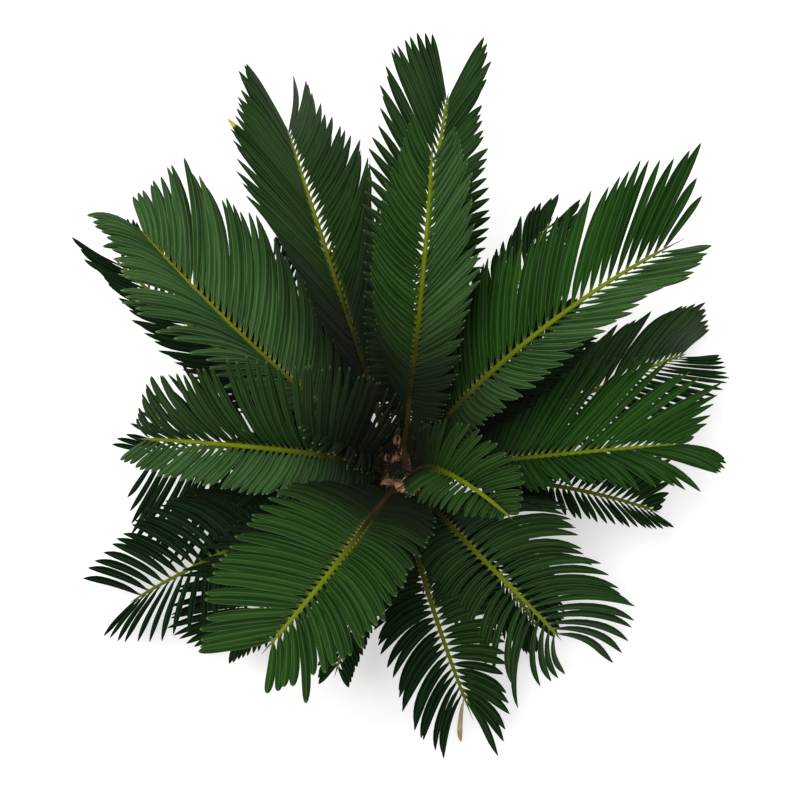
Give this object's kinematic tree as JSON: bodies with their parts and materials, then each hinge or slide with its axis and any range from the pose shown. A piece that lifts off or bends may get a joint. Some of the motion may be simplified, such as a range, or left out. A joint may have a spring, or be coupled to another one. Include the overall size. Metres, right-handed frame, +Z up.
{
  "type": "sago palm",
  "caption": "Young sago palm rooted in level ground: a short scaly trunk under a full, open rosette of stiff, arching, feather-shaped evergreen fronds.",
  "frame": {"origin": "middle of the flat cut under the trunk, at ground level", "axes": "+Z up along the trunk, +X towards the crown's right, +Y towards its back, which is the crown's longest way across"},
  "size_m": [0.6949, 0.7802, 0.4021],
  "materials": {
    "bark": "rough, scaly with old leaf bases",
    "wool": "matt, woolly",
    "foliage_upper": "satin, waxy",
    "foliage_lower": "satin, waxy"
  },
  "bodies": {
    "root": {"trunk": "bark", "crown_apex": "wool", "frond_01": "foliage_upper", "frond_02": "foliage_upper", "frond_03": "foliage_upper", "frond_04": "foliage_upper", "frond_05": "foliage_upper", "frond_06": "foliage_upper", "frond_07": "foliage_upper", "frond_08": "foliage_upper", "frond_09": "foliage_upper", "frond_10": "foliage_upper", "frond_11": "foliage_lower", "frond_12": "foliage_lower", "frond_13": "foliage_lower", "frond_14": "foliage_lower", "frond_15": "foliage_lower", "frond_16": "foliage_lower", "frond_17": "foliage_lower", "frond_18": "foliage_lower", "frond_19": "foliage_lower", "frond_20": "foliage_lower", "frond_21": "foliage_lower", "frond_22": "foliage_lower", "frond_23": "foliage_lower", "frond_24": "foliage_lower", "frond_25": "foliage_lower", "frond_26": "foliage_lower", "frond_27": "foliage_lower", "frond_28": "foliage_lower", "frond_29": "foliage_lower", "frond_30": "foliage_lower", "frond_31": "foliage_lower"}
  },
  "joints": []
}
